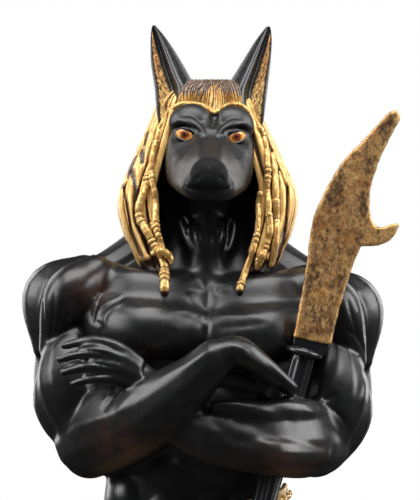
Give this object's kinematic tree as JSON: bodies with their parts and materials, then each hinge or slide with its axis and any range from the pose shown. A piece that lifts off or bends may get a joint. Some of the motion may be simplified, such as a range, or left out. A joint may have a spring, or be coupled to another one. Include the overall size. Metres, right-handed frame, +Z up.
{
  "type": "standing statue",
  "caption": "Standing jackal-headed guardian statue with crossed arms, striped headdress, pleated kilt and a hooked war axe, on a low plinth.",
  "frame": {"origin": "middle of the plinth's underside", "axes": "+Z up, the figure faces -Y, the viewer's right is +X"},
  "size_m": [0.0933, 0.0758, 0.2791],
  "materials": {
    "black_resin": "satin black painted casting resin",
    "gold_paint": "pale gold paint with a dark brown wash in the grooves",
    "antique_gold": "mottled antique gold and dark bronze paint",
    "eye_amber": "glossy amber paint with dark pupils",
    "plinth_black": "satin black painted resin"
  },
  "bodies": {
    "root": {"figure": "black_resin", "war_axe": "antique_gold", "plinth": "plinth_black"}
  },
  "joints": []
}
